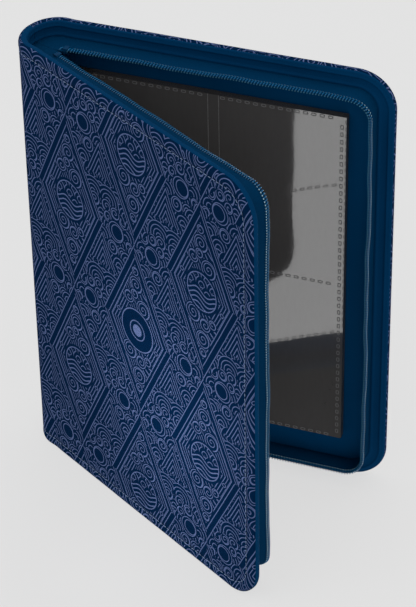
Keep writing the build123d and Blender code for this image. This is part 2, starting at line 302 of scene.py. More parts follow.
def printed_lines(across, up):
    """The line drawing: tall rhombs in dark bands, with curls, beads, arches and chevrons."""
    first = (repeat(across, 2 * CELL_WIDE), repeat(up, 2 * CELL_TALL))
    second = (repeat(across + CELL_WIDE, 2 * CELL_WIDE), repeat(up + CELL_TALL, 2 * CELL_TALL))
    reach = [abs(x) * (1 / CELL_WIDE) + abs(y) * (1 / CELL_TALL) for x, y in (first, second)]
    pick = ramp(reach[0] - reach[1], -0.0001, 0.0001)
    x = lay(first[0], second[0], pick)
    y = lay(first[1], second[1], pick)
    side = abs(x)
    rise = abs(y)
    slope = 1 / math.hypot(1 / RHOMB_WIDE, 1 / RHOMB_TALL)
    rhomb = (1.0 - side * (1 / RHOMB_WIDE) - rise * (1 / RHOMB_TALL)) * slope
    tilt = RHOMB_TALL / RHOMB_WIDE
    steep = 1 / math.hypot(1.0, tilt)

    # within a rhomb: nested corners, wavy filling, curls, and a round medallion
    swing = sine(x * 0.21 + 0.6) * 2.2 + sine(y * 0.17) * 1.6
    inner = stripes(y * 0.72 + x * 0.62 + swing, PITCH)
    corner = ramp(side - 13.6 + rise * 0.62, -SOFT, SOFT) * inside(rise, 15.5)
    inner = lay(inner, stripes(rhomb - 0.45, CORNER_PITCH), corner)
    inner = lay(inner, stroke(abs(rhomb - 3.8)), inside(rhomb, 4.2))
    for place, radius, hand in (
        ((5.4, 15.4), 4.9, 1.0), ((-5.6, 18.4), 3.3, -1.0), ((0.2, 28.2), 4.5, -1.0),
        ((-1.2, 22.0), 2.4, 1.0), ((0.0, 36.2), 2.2, 1.0), ((-6.6, -15.0), 5.0, 1.0),
        ((2.2, -18.6), 3.4, -1.0), ((7.6, -15.6), 2.4, 1.0), ((0.2, -28.0), 4.6, 1.0),
        ((0.0, -36.0), 2.3, -1.0),
    ):
        inner = curl(inner, x, y, place, radius, hand)
    centre = root(x * x + y * y)
    swell = y + sine(x * 0.42) * 1.5
    waves = stripes(swell + 0.2, 2.8, LINE * 1.6)
    medal = lay(waves, scales(x, y + 0.5, 4.2), ramp(swell - 1.6, -SOFT, SOFT))
    medal = larger(medal * inside(centre, 10.6), stroke(abs(centre - 10.6), LINE * 1.2))
    inner = lay(inner, medal, inside(centre, 12.4))
    for place in ((-14.6, 6.2), (14.6, -6.2)):
        _, _, far = away(x, y, *place)
        inner = lay(inner, stroke(abs(far - 1.1)), inside(far, 1.9))

    # between the rhombs: chevrons, pairs of arches, beads and curls
    column = side - CELL_WIDE / 2
    level = repeat(up + CELL_TALL / 2, CELL_TALL)
    outer = scales(column, level + 0.7, 6.4)
    chevron = (level - 20.5) * steep + abs(column) * (tilt * steep)
    banked = inside(abs(chevron + 4.6), 5.4) * ramp(level, 1.0, 1.2)
    outer = lay(outer, stripes(chevron + 0.4, CORNER_PITCH), banked)
    outer = fan(outer, abs(column), level, (5.9, -10.6), 9.0)
    outer = curl(outer, abs(column), level, (4.8, -14.0), 3.5)
    near = CELL_WIDE - side
    for place, radius, hand in (
        ((9.4, -10.8), 3.5, 1.0), ((17.6, -10.6), 3.7, -1.0), ((8.0, 8.0), 3.0, -1.0),
        ((14.6, 10.6), 3.1, 1.0), ((20.6, 6.2), 2.7, -1.0), ((4.0, -3.8), 2.5, 1.0),
    ):
        outer = curl(outer, near, y, place, radius, hand)
    outer = bead(outer, near, y, (13.4, 0.0), 4.3)

    drawn = lay(outer, inner, ramp(rhomb, -SOFT, SOFT))
    lean = ramp(x * y * -1.0, -0.5, 0.5)
    band = lean * (BOLD_BAND - THIN_BAND) + THIN_BAND
    edges = stroke(abs(abs(rhomb) - band))
    return lay(drawn, edges, 1.0 - ramp(abs(rhomb) - band, LINE, LINE + 2 * SOFT))


def with_roundel(lines, across, up):
    """The plain roundel in the middle of the front: a dark disc with a ring and a light centre."""
    _, _, far = away(across, up, *ROUNDEL)
    button = larger(inside(far, 3.4), stroke(abs(far - 5.6), LINE * 1.3))
    drawn = larger(button, stroke(abs(far - ROUNDEL_RADIUS), LINE * 1.4))
    return lay(lines, drawn, inside(far, ROUNDEL_RADIUS + 0.9))


# ---------------------------------------------------------------- materials
def new_material(name):
    """A node material: the material, its tree and its main shader."""
    material = bpy.data.materials.new(name)
    material.use_nodes = True
    tree = material.node_tree
    return material, tree, tree.nodes["Principled BSDF"]


def flat_place(tree):
    """The two coordinates on the flat cloth, in millimetres."""
    node = tree.nodes.new("ShaderNodeTexCoord")
    parts = tree.nodes.new("ShaderNodeSeparateXYZ")
    tree.links.new(node.outputs["UV"], parts.inputs[0])
    return [Value(tree, parts.outputs[index]) * 1000.0 for index in range(2)]


def noise(tree, scale, detail, stretch=None, kind="Object"):
    """Noise in space, with a scale for each millimetre."""
    node = tree.nodes.new("ShaderNodeTexNoise")
    node.inputs["Scale"].default_value = scale * 1000.0
    node.inputs["Detail"].default_value = detail
    place = tree.nodes.new("ShaderNodeTexCoord")
    if stretch:
        mapping = tree.nodes.new("ShaderNodeMapping")
        mapping.inputs["Scale"].default_value = stretch
        tree.links.new(place.outputs[kind], mapping.inputs["Vector"])
        tree.links.new(mapping.outputs["Vector"], node.inputs["Vector"])
    else:
        tree.links.new(place.outputs[kind], node.inputs["Vector"])
    return Value(tree, node.outputs["Fac"])


def mix_colours(tree, share, dark, light):
    """A colour between two, each a tuple or a socket."""
    node = tree.nodes.new("ShaderNodeMix")
    node.data_type = "RGBA"
    tree.links.new(share.socket, node.inputs[0])
    for socket, colour in ((node.inputs[6], dark), (node.inputs[7], light)):
        if isinstance(colour, tuple):
            socket.default_value = (*colour, 1.0)
        else:
            tree.links.new(colour, socket)
    return node.outputs[2]


def set_look(tree, shader, colour, others):
    """The base colour of a shader, and its other sockets by name: a Value, or a constant."""
    tree.links.new(colour, shader.inputs["Base Color"])
    for name, item in others.items():
        if isinstance(item, Value):
            tree.links.new(item.socket, shader.inputs[name])
        else:
            shader.inputs[name].default_value = item


def set_bump(tree, shader, height, distance, strength):
    """Small relief from a height in 0 to 1."""
    node = tree.nodes.new("ShaderNodeBump")
    node.inputs["Strength"].default_value = strength
    node.inputs["Distance"].default_value = distance
    tree.links.new(height.socket, node.inputs["Height"])
    tree.links.new(node.outputs["Normal"], shader.inputs["Normal"])


def weave(across, up, thread):
    """The height of a plain weave: 1 on a crown, 0 between threads."""
    turn = math.pi / thread
    over = sine(across * turn) * sine(up * turn)
    fine = abs(sine(across * (2 * turn))) * 0.5 + abs(sine(up * (2 * turn))) * 0.5
    return over * 0.35 + fine * 0.3 + 0.35


def printed_cloth():
    """Navy cloth with the lavender line print."""
    material, tree, shader = new_material("printed_cloth")
    across, up = flat_place(tree)
    wobble = noise(tree, 0.12, 1.0, kind="UV") - 0.5
    lines = printed_lines(across - ROUNDEL[0] + wobble * 0.5, up - ROUNDEL[1] + wobble * 0.5)
    lines = with_roundel(lines, across, up)
    threads = weave(across, up, PRINT_THREAD)
    grain = noise(tree, 1.6, 2.0, kind="UV")
    cover = noise(tree, 0.02, 2.0, kind="UV")
    ink = lines * ramp(grain, 0.16, 0.34)
    ground = mix_colours(tree, cover * 0.55 + threads * 0.35, (0.0, 0.0104, 0.040), (0.0, 0.0176, 0.065))
    line_colour = mix_colours(tree, cover * 0.5 + threads * 0.5, (0.082, 0.118, 0.262), (0.134, 0.188, 0.384))
    colour = mix_colours(tree, ink, ground, line_colour)
    others = {
        "Roughness": 0.62 - ink * 0.10 + grain * 0.12,
        "Specular IOR Level": 0.01,
        "Sheen Weight": 0.006,
        "Sheen Roughness": 0.45,
        "Sheen Tint": (0.30, 0.50, 1.0, 1.0),
    }
    set_look(tree, shader, colour, others)
    set_bump(tree, shader, threads * 0.6 + ink * 0.5, 0.00010, 0.7)
    return material


def blue_cloth(name, dark, light, thread):
    """Plain blue cloth, woven of threads that far apart."""
    material, tree, shader = new_material(name)
    across, up = flat_place(tree)
    threads = weave(across, up, thread)
    patches = noise(tree, 0.03, 3.0, kind="UV")
    fuzz = noise(tree, 1.2, 2.0, kind="UV")
    height = threads * 0.7 + fuzz * 0.3
    tone = patches * 0.45 + height * 0.55
    others = {
        "Roughness": 0.62 + fuzz * 0.2,
        "Specular IOR Level": 0.02,
        "Sheen Weight": 0.015,
        "Sheen Roughness": 0.4,
        "Sheen Tint": (0.05, 0.45, 1.0, 1.0),
    }
    set_look(tree, shader, mix_colours(tree, tone, dark, light), others)
    set_bump(tree, shader, height, 0.00012, 0.6)
    return material


def thread_material(name, dark, light):
    """Twisted sewing thread."""
    material, tree, shader = new_material(name)
    across, up = flat_place(tree)
    twist = abs(sine((across + up) * 7.0))
    set_look(tree, shader, mix_colours(tree, twist, dark, light), {"Roughness": 0.55})
    set_bump(tree, shader, twist, 0.00006, 0.6)
    return material


def coil_thread(dull, pale):
    """The thread along the coil, in two shades: dull at the top of the album, and pale along its fore-edge
    and foot, where the pale shade is a painted glint."""
    material, tree, shader = new_material("coil_thread")
    across, up = flat_place(tree)
    # painted glint: the thread is made pale along the fore-edge and the foot of the album
    fore_edge_glint = ramp(across, PANEL / MM - 16, PANEL / MM - 11)
    foot_glint = ramp(up * -1.0, HEIGHT / 2 / MM - 14, HEIGHT / 2 / MM - 11)
    tone = noise(tree, 0.9, 2.0)
    thread_with_glint = mix_colours(tree, larger(fore_edge_glint, foot_glint) * 0.8 + tone * 0.2, dull, pale)
    set_look(tree, shader, thread_with_glint, {"Roughness": 0.5})
    set_bump(tree, shader, tone, 0.00005, 0.5)
    return material


def nylon(name, dark, light, tip_highlight):
    """Slightly shiny nylon wire, with a painted highlight where the teeth turn outward and painted shade
    where each turn bends back by the tape.
    """
    material, tree, shader = new_material(name)
    tone = noise(tree, 0.5, 2.0)
    cosine, wave = flat_place(tree)
    # painted highlight: the outer turn of each tooth takes the pale tip colour
    turned = ramp(cosine, 0.90, 0.99)
    # painted shade: the wire is darker where each turn bends round, which shows at the back by the tape
    shown = ramp(abs(wave), 0.2, 0.8)
    ribs_with_painted_shade = mix_colours(tree, shown * 0.85 + tone * 0.15, dark, light)
    others = {"Roughness": 0.38, "Specular IOR Level": 0.25}
    set_look(tree, shader, mix_colours(tree, turned, ribs_with_painted_shade, tip_highlight), others)
    set_bump(tree, shader, noise(tree, 3.0, 2.0), 0.00003, 0.4)
    return material


def page_film():
    """Clear film over a black sheet: glossy, with faint waves and scuffs."""
    material, tree, shader = new_material("page_film")
    cloudy = noise(tree, 0.02, 2.0)
    ripple = noise(tree, 0.16, 2.0) * 0.40 + noise(tree, 0.4, 1.0) * 0.14 + noise(tree, 1.2, 1.0) * 0.15
    scuffs = noise(tree, 0.6, 4.0, stretch=(1.0, 1.0, 0.25))
    colour = mix_colours(tree, cloudy * 0.6 + scuffs * 0.4, (0.054, 0.052, 0.052), (0.086, 0.083, 0.083))
    others = {
        "Roughness": 0.04 + ramp(scuffs, 0.45, 0.9) * 0.08,
        "IOR": 1.5,
        "Coat Weight": 1.0,
        "Coat Roughness": 0.02,
        "Coat IOR": 2.0,
    }
    set_look(tree, shader, colour, others)
    set_bump(tree, shader, cloudy * 0.5 + ripple, 0.0006, 0.12)
    return material


def page_core():
    """The black sheet of a leaf and its cut edges."""
    material, tree, shader = new_material("page_core")
    tone = noise(tree, 0.4, 3.0)
    colour = mix_colours(tree, tone, (0.022, 0.019, 0.017), (0.048, 0.042, 0.037))
    set_look(tree, shader, colour, {"Roughness": 0.38 + tone * 0.25})
    set_bump(tree, shader, noise(tree, 2.0, 3.0), 0.00004, 0.4)
    return material


def cut_film(name, dark, light, rough, gloss):
    """Film where it is cut, turned or pressed, cloudy rather than clear; and the small moulded stops. On the
    turned lip the pale grey is partly cloudy film and partly a painted glint.
    """
    material, tree, shader = new_material(name)
    tone = noise(tree, 0.8, 2.0)
    others = {"Roughness": rough, "Specular IOR Level": gloss}
    set_look(tree, shader, mix_colours(tree, tone, dark, light), others)
    set_bump(tree, shader, tone, 0.00005, 0.4)
    return material


def enamel(name, dark, light):
    """Painted cast metal with a little orange peel and rubbed paint."""
    material, tree, shader = new_material(name)
    peel = noise(tree, 0.9, 2.0)
    rubbed = ramp(noise(tree, 0.25, 4.0), 0.62, 0.75)
    bare = tuple(channel * 3 for channel in light)
    colour = mix_colours(tree, rubbed, mix_colours(tree, peel, dark, light), bare)
    set_look(tree, shader, colour, {"Metallic": 0.35, "Roughness": 0.26 + peel * 0.12 + rubbed * 0.15})
    set_bump(tree, shader, peel, 0.00005, 0.3)
    return material


def grey_board():
    """Pressed grey board with fibres."""
    material, tree, shader = new_material("grey_board")
    fibres = noise(tree, 0.8, 5.0, stretch=(1.0, 1.0, 0.3))
    colour = mix_colours(tree, fibres, (0.16, 0.15, 0.13), (0.34, 0.32, 0.29))
    set_look(tree, shader, colour, {"Roughness": 0.9})
    set_bump(tree, shader, fibres, 0.0001, 0.6)
    return material


def pale_foam():
    """Open-cell foam sheet."""
    material, tree, shader = new_material("pale_foam")
    cells = tree.nodes.new("ShaderNodeTexVoronoi")
    cells.inputs["Scale"].default_value = 1600.0
    place = tree.nodes.new("ShaderNodeTexCoord")
    tree.links.new(place.outputs["Object"], cells.inputs["Vector"])
    depth = Value(tree, cells.outputs["Distance"])
    colour = mix_colours(tree, depth, (0.62, 0.60, 0.54), (0.80, 0.79, 0.74))
    set_look(tree, shader, colour, {"Roughness": 0.95})
    set_bump(tree, shader, depth, 0.0002, 0.6)
    return material


def floor_material():
    """Pale matt studio paper."""
    material, tree, shader = new_material("studio_floor")
    tone = noise(tree, 0.002, 2.0)
    others = {
        "Roughness": 0.9,
        "Specular IOR Level": 0.1,
        "Emission Color": (1.0, 1.0, 1.0, 1.0),
        "Emission Strength": 0.645,
    }
    set_look(tree, shader, mix_colours(tree, tone, (0.145, 0.145, 0.145), (0.150, 0.150, 0.150)), others)
    return material


MATERIALS = {
    "print": printed_cloth(),
    "binding": blue_cloth("edge_cloth", (0.0, 0.0260, 0.080), (0.0, 0.0480, 0.140), 0.40),
    "tape": blue_cloth("tape_cloth", (0.0, 0.0225, 0.066), (0.0, 0.0420, 0.116), 0.34),
    "lining": blue_cloth("lining_cloth", (0.0, 0.0400, 0.122), (0.0, 0.0660, 0.186), 0.30),
    # coil: the dark colour is painted shade on the back of each turn, the third a painted highlight on the
    # tips
    "coil": nylon("coil_nylon", (0.0, 0.020, 0.060), (0.0, 0.120, 0.290), (0.080, 0.260, 0.370)),
    # coil thread: the pale second colour is a painted glint along the fore-edge and foot
    "coil_thread": coil_thread((0.0, 0.060, 0.150), (0.460, 0.680, 0.760)),
    "seam_thread": thread_material("seam_thread", (0.110, 0.180, 0.330), (0.230, 0.320, 0.500)),
    "film": page_film(),
    "core": page_core(),
    # lip: pale grey, partly cloudy turned film and partly a painted glint along each pocket mouth
    "lip": cut_film("film_lip", (0.10, 0.10, 0.10), (0.26, 0.26, 0.26), 0.22, 0.1),
    "weld": cut_film("weld_rim", (0.105, 0.105, 0.107), (0.185, 0.185, 0.188), 0.40, 0.1),
    "metal": enamel("blue_enamel", (0.004, 0.016, 0.045), (0.010, 0.032, 0.080)),
    "stop": cut_film("blue_stop", (0.0, 0.028, 0.082), (0.0, 0.048, 0.130), 0.55, 0.1),
    "board": grey_board(),
    "foam": pale_foam(),
}


# ---------------------------------------------------------------- from the closed album to the standing one
def smooth(share):
    share = np.clip(share, 0.0, 1.0)
    return share * share * (3 - 2 * share)


def distances(points):
    """How far along a line of points each one lies."""
    steps = np.linalg.norm(np.diff(points, axis=0), axis=1)
    return np.concatenate([[0], np.cumsum(steps)])


def unit(vectors):
    """The same directions, with length 1."""
    return vectors / np.linalg.norm(vectors, axis=1)[:, None]


def sample(at, run, values):
    """Rows of values read at the distances in at."""
    return np.stack([np.interp(at, run, column) for column in values.T], -1)


def wall_depth(depth, side):
    """Place across the closed album of something that deep under the outer face of a cover."""
    return -depth if side == "back" else depth - THICK


def turn(x, y, angle):
    """Turn clockwise as seen from above."""
    return x * np.cos(angle) + y * np.sin(angle), y * np.cos(angle) - x * np.sin(angle)


def settle(forward, across, height, side):
    """Points of the closed album, from the back fold, moved to where they stand half open."""
    share = smooth((forward + CREASE) / (2 * CREASE))
    if side == "front":
        x, y = turn(forward, across + THICK, HALF * share)
        x, y = turn(x, y - THICK, HALF)
    else:
        x, y = turn(forward, across, HALF * (1 - share))
    return np.stack([BACK_FOLD[0] + x, BACK_FOLD[1] + y, height + 0 * x], -1)


OVAL_STEPS = np.linspace(0, math.pi / 2, 400)
OVAL_X = -SPINE_DEPTH * np.sin(OVAL_STEPS)
OVAL_Y = THICK / 2 * (np.cos(OVAL_STEPS) - 1)
OVAL_ARC = distances(np.stack([OVAL_X, OVAL_Y], -1))
SPINE_ARC = float(OVAL_ARC[-1])


def wrap(along, depth, side):
    """Distance along the outer face from the fold, and depth under it, to places in the closed album."""
    step = np.interp(-along, OVAL_ARC, OVAL_STEPS)
    normal_x = np.sin(step) / SPINE_DEPTH
    normal_y = -np.cos(step) / (THICK / 2)
    length = np.hypot(normal_x, normal_y)
    forward = np.maximum(along, 0) - SPINE_DEPTH * np.sin(step) + depth * normal_x / length
    across = THICK / 2 * (np.cos(step) - 1) + depth * normal_y / length
    if side == "front":
        across = -THICK - across
    return forward, across


def place(along, up, depth, side):
    """A point on or under the cloth: along from the fold, up from mid-height."""
    forward, across = wrap(along, depth, side)
    return settle(forward, across, HEIGHT / 2 + up, side)


def edge_path(start, spacing=0.0025):
    """Points on the line one corner radius inside the edge, each with its direction outward."""
    flat = PANEL - CORNER
    tall = HEIGHT / 2 - CORNER
    count = max(2, int(round((flat - start) / spacing)))
    level = np.linspace(start, flat, count + 1)
    bend = np.linspace(0, math.pi / 2, CORNER_STEPS + 1)[1:-1]
    upright = np.linspace(tall, -tall, int(round(2 * tall / spacing)) + 1)
    middle = [(x, tall) for x in level] + [(flat, tall)] * len(bend) + [(flat, y) for y in upright]
    outward = [(0, 1)] * len(level) + [(math.sin(t), math.cos(t)) for t in bend] + [(1, 0)] * len(upright)
    middle += [(flat, -tall)] * len(bend) + [(x, -tall) for x in level[::-1]]
    outward += [(math.cos(t), -math.sin(t)) for t in bend] + [(0, -1)] * len(level)
    return np.array(middle, float), np.array(outward, float), level, upright


# ---------------------------------------------------------------- mesh helpers
def make_object(name, points, faces, uvs, material, smooth_shading=True):
    """A mesh object with one UV for each point."""
    mesh = bpy.data.meshes.new(name)
    mesh.from_pydata([tuple(point) for point in np.reshape(points, (-1, 3))], [], faces)
    layer = mesh.uv_layers.new(name="UVMap")
    corner = np.zeros(len(mesh.loops), np.int32)
    mesh.loops.foreach_get("vertex_index", corner)
    layer.data.foreach_set("uv", np.reshape(uvs, (-1, 2)).astype(np.float32)[corner].ravel())
    mesh.polygons.foreach_set("use_smooth", [smooth_shading] * len(mesh.polygons))
    mesh.materials.append(material)
    piece = bpy.data.objects.new(name, mesh)
    bpy.context.scene.collection.objects.link(piece)
    return piece


def grid_faces(rows, columns, first=0, close_columns=False):
    """Quads of a grid of points stored row by row."""
    faces = []
    for row in range(rows - 1):
        for column in range(columns if close_columns else columns - 1):
            here = first + row * columns
            beyond = here + columns
            following = (column + 1) % columns
            faces.append((here + column, beyond + column, beyond + following, here + following))
    return faces


def full_circle(steps):
    """Angles all the way round."""
    return np.linspace(0, 2 * math.pi, steps, endpoint=False)


def make_cloth(name, grid, across, up, material):
    """A grid of points as one cloth, with the places of the points on it when it lies flat."""
    uvs = np.stack(np.broadcast_arrays(across, up), -1)
    return make_object(name, grid, grid_faces(*grid.shape[:2]), uvs, material)


def make_tube(name, rings, uvs, material):
    """A closed tube through rings of points."""
    rows, columns = rings.shape[:2]
    faces = grid_faces(rows, columns, close_columns=True)
    faces += [tuple(range(columns))[::-1], tuple(range((rows - 1) * columns, rows * columns))]
    return make_object(name, rings, faces, uvs, material)


def weld_and_orient(piece):
    """Join points that coincide and make the faces agree."""
    work = bmesh.new()
    work.from_mesh(piece.data)
    bmesh.ops.remove_doubles(work, verts=work.verts, dist=1e-6)
    bmesh.ops.recalc_face_normals(work, faces=work.faces)
    work.to_mesh(piece.data)
    work.free()


def thicken(piece, thickness):
    """Give a sheet its thickness, half on each face."""
    modifier = piece.modifiers.new("thickness", "SOLIDIFY")
    modifier.thickness = thickness
    modifier.offset = 0.0
    modifier.use_even_offset = True
    bpy.context.view_layer.update()
    evaluated = piece.evaluated_get(bpy.context.evaluated_depsgraph_get())
    mesh = bpy.data.meshes.new_from_object(evaluated)
    piece.modifiers.clear()
    piece.data = mesh


def cross_fold(piece, side):
    """Bake a piece's placing into its mesh. The places either side of the crease are worked out and not used.
    """
    middle = np.array(0.0)
    start = place(middle + CREASE, middle, middle, side)
    end = place(middle - CREASE, middle, middle, side)
    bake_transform(piece)


# ---------------------------------------------------------------- covers
ROLLED = [
    (20.0, 0.0), (16.0, 0.0), (12.0, 0.0), (9.0, -0.04), (7.6, 0.02), (6.8, 0.22), (6.3, 0.42), (6.0, 0.46),
    (5.7, 0.42), (5.2, 0.22), (4.5, 0.0), (3.4, -0.12), (2.3, -0.05), (1.4, 0.15), (0.75, 0.48), (0.28, 0.95),
]
SKIN_PROFILES = {
    "back": ROLLED
    + [(0.05, 1.45), (0.0, 1.9), (0.02, 2.5), (0.07, 3.1), (0.18, 3.52), (0.45, 3.78), (1.1, 3.9)],
    "front": ROLLED + [(0.12, 1.25), (0.22, 1.5), (0.5, 1.66), (1.0, 1.74)],
}
BOUND = [
    (0.95, 4.45), (1.7, 4.6), (2.4, 4.72), (2.8, 4.95), (3.1, 5.0), (3.4, 4.92), (3.65, 4.62), (4.2, 4.5),
    (5.2, 4.46), (6.4, 4.5), (7.1, 4.66), (7.5, 4.95), (7.9, 5.12), (8.3, 5.08), (8.55, 5.0), (8.75, 4.94),
    (8.95, 4.9), (9.15, 4.88),
]
EDGE_PROFILES = {
    "back": [(1.1, 3.5), (0.7, 3.54), (0.42, 3.66), (0.36, 3.9), (0.52, 4.2)] + BOUND,
    "front": [(1.0, 1.2), (0.5, 1.22), (0.2, 1.36), (0.06, 1.65), (0.0, 2.1), (0.02, 2.6), (0.07, 3.0)]
    + [(0.14, 3.3), (0.22, 3.75), (0.45, 4.15)] + BOUND,
}


def profile_arrays(profile):
    """Insets, depths and arc length of a profile, in metres."""
    inset, depth = np.array(profile).T * MM
    return inset, depth, distances(np.stack([inset, depth], -1))


def ruffle(position, seed):
    """A gentle unevenness along cloth, about -1 to 1."""
    return (
        0.5 * np.sin(position * 61.0 + seed)
        + 0.3 * np.sin(position * 137.0 + 2.1 * seed)
        + 0.2 * np.sin(position * 263.0 + 0.7 * seed)
    )


def make_skin(side):
    """The printed skin of one cover and its half of the spine, rolled over the edge."""
    middle, outward, level, upright = edge_path(-SPINE_ARC)
    inset, depth, arc = profile_arrays(SKIN_PROFILES[side])
    across = middle[:, None, :] + (CORNER - inset)[None, :, None] * outward[:, None, :]
    run = distances(across[:, -1])
    seed = 1.0 if side == "back" else 4.0
    sink = depth[None, :] + SKIN_RUFFLE * ruffle(run, seed)[:, None] * (inset < 0.008)
    points = place(across[..., 0], across[..., 1], sink, side)
    flat_uv = middle[:, None, :] + arc[None, :, None] * outward[:, None, :]
    faces = grid_faces(*points.shape[:2])
    # the flat middle, with a slight crown of padding
    x, y = np.meshgrid(level, upright)
    crown = np.clip(np.minimum(PANEL - CORNER - x, HEIGHT / 2 - CORNER - np.abs(y)) / 0.02, 0, 1)
    puff = -CROWN * smooth(crown) * smooth(np.clip(x / 0.02, 0, 1))
    core = place(x, y, puff, side)
    faces += grid_faces(*core.shape[:2], first=points[..., 0].size)
    points = np.concatenate([points.reshape(-1, 3), core.reshape(-1, 3)])
    uvs = np.concatenate([flat_uv.reshape(-1, 2), np.stack([x, y], -1).reshape(-1, 2)])
    if side == "back":
        uvs[:, 0] = -2 * SPINE_ARC - uvs[:, 0]
    piece = make_object(f"{side}_printed_skin", points, faces, uvs, MATERIALS["print"])
    weld_and_orient(piece)
    cross_fold(piece, side)
    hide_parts(*([f"{side}_cover_skin"] + (["spine_skin"] if side == "back" else [])))


def make_edge_cloth(side):
    """The binding, flange and piping in one run of cloth round the inner border."""
    middle, outward, _, _ = edge_path(-SPINE_ARC)
    inset, depth, arc = profile_arrays(EDGE_PROFILES[side])
    across = middle[:, None, :] + (CORNER - inset)[None, :, None] * outward[:, None, :]
    run = distances(across[:, 0])
    seed = 2.0 if side == "back" else 5.0
    lift = CLOTH_RUFFLE * ruffle(run, seed)[:, None] * (inset > 0.002)
    points = place(across[..., 0], across[..., 1], depth[None, :] + lift, side)
    piece = make_cloth(f"{side}_edge_cloth", points, arc[None, :], run[:, None], MATERIALS["binding"])
    cross_fold(piece, side)
    replaced = [f"{side}_edge_binding", f"{side}_zip_flange", f"{side}_piping"]
    if side == "back":
        replaced += ["spine_binding", "spine_flange", "spine_piping"]
    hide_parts(*replaced)


def gusset_lines(side):
    """Root and free edge of the tape, station by station, in the closed album, and its way outward."""
    fold = 0.0004
    seam = THICK / 2 - SEAM_GAP
    middle, outward, _, _ = edge_path(fold, 0.002)
    across = middle + (CORNER - TAPE_INSET) * outward
    near = smooth(across[:, 0] / 0.008)
    root_points, edge_points = (
        np.stack([*wrap(across[:, 0], depth, "back"), across[:, 1]], -1)
        for depth in (np.full(len(middle), TAPE_ROOT), seam + (TAPE_EDGE - seam) * near)
    )
    # the half cap at each end of the spine, as a fan of lines from the wall to the seam
    along = np.linspace(-SPINE_ARC, fold, CAP_LINES + 1)[:-1]
    fan_forward, fan_across = wrap(along, np.full(CAP_LINES, TAPE_ROOT), "back")
    seam_forward = np.linspace(-SPINE_DEPTH + TAPE_ROOT + 0.0003, fold, CAP_LINES + 1)[:-1]
    level = np.full(CAP_LINES, HEIGHT / 2 - TAPE_INSET)
    fan_root = np.stack([fan_forward, fan_across, level], -1)
    fan_edge = np.stack([seam_forward, np.full(CAP_LINES, -seam), level], -1)
    mirror = np.array([1, 1, -1])
    roots = np.concatenate([fan_root, root_points, (fan_root * mirror)[::-1]])
    edges = np.concatenate([fan_edge, edge_points, (fan_edge * mirror)[::-1]])
    ways = np.concatenate([[(0, 1)] * CAP_LINES, outward, [(0, -1)] * CAP_LINES])
    if side == "front":
        roots[:, 1] = -THICK - roots[:, 1]
        edges[:, 1] = -THICK - edges[:, 1]
    return roots, edges, ways


def tape_sway(edges, ways, side):
    """How far the free edge leans outward at each station; the run the slider travels stays straight."""
    run = distances(edges)
    free = smooth((np.arange(len(edges)) - CAP_LINES) / 12.0) * smooth((ways[:, 1] + 0.85) / 0.6)
    lean, seed = (0.0, 0.4) if side == "back" else (FRONT_LEAN, 3.1)
    return run, (lean * np.abs(ways[:, 0]) + TAPE_RUFFLE * ruffle(run, seed)) * free


def make_tape(side):
    """The standing zip tape with its half of each spine cap, as one cloth."""
    roots, edges, ways = gusset_lines(side)
    steps = np.linspace(0, 1, 9)
    points = roots[:, None, :] + (edges - roots)[:, None, :] * steps[None, :, None]
    run, sway = tape_sway(edges, ways, side)
    lean = sway[:, None] * steps[None, :] ** 1.5
    belly = -0.0004 * np.sin(math.pi * steps)[None, :] * np.ones(len(roots))[:, None]
    shift = (lean + belly)[..., None] * ways[:, None, :]
    forward = points[..., 0] + shift[..., 0]
    height = points[..., 2] + shift[..., 1]
    world = settle(forward, points[..., 1], HEIGHT / 2 + height, side)
    width = np.linalg.norm(edges - roots, axis=1)[:, None] * steps[None, :]
    piece = make_cloth(f"{side}_tape", world, width, run[:, None], MATERIALS["tape"])
    thicken(piece, TAPE_THICKNESS)
    cross_fold(piece, side)
    replaced = [f"{side}_zip_tape"]
    if side == "back":
        replaced += ["spine_cap_top", "spine_cap_bottom"]
    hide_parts(*replaced)


def chain_line(side):
    """The free edge of the tape beyond the spine caps: places, ways outward, and distance along it."""
    _, edges, ways = gusset_lines(side)
    _, lean = tape_sway(edges, ways, side)
    line = edges.copy()
    line[:, 0] += lean * ways[:, 0]
    line[:, 2] += lean * ways[:, 1]
    keep = slice(CAP_LINES, len(edges) - CAP_LINES)
    return line[keep], ways[keep], distances(line[keep])


def make_coil(side):
    """The nylon coil: a flattened spiral of wire along the tape's free edge."""
    line, ways, run = chain_line(side)
    inward = -1.0 if side == "back" else 1.0
    turns = int(run[-1] / COIL_PITCH)
    per_turn = 12
    phase = np.linspace(0, 2 * math.pi * turns, turns * per_turn + 1)
    at = phase / (2 * math.pi) * COIL_PITCH
    if side == "front":
        phase = phase + math.pi
    centre = sample(at, run, line)
    out = unit(sample(at, run, ways))
    height = COIL_HEIGHT * np.sin(phase)
    forward = centre[:, 0] + out[:, 0] * height
    up = centre[:, 2] + out[:, 1] * height
    path = np.stack([forward, wall_depth(COIL_MIDDLE + COIL_REACH * np.cos(phase), side), up], -1)
    tangent = unit(np.gradient(path, axis=0))
    radial = np.stack([out[:, 0] * np.sin(phase), inward * np.cos(phase), out[:, 1] * np.sin(phase)], -1)
    radial = unit(radial - tangent * np.sum(radial * tangent, axis=1)[:, None])
    binormal = np.cross(tangent, radial)
    ring = full_circle(6)
    tube = path[:, None, :] + WIRE_RADIUS * (
        np.cos(ring)[None, :, None] * radial[:, None, :] + np.sin(ring)[None, :, None] * binormal[:, None, :]
    )
    world = settle(tube[..., 0], tube[..., 1], HEIGHT / 2 + tube[..., 2], side)
    circle = np.stack([np.cos(phase), np.sin(phase)], -1) * MM
    piece = make_tube(f"{side}_coil", world, np.repeat(circle, len(ring), axis=0), MATERIALS["coil"])
    cross_fold(piece, side)
    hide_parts(f"{side}_zip_coil")


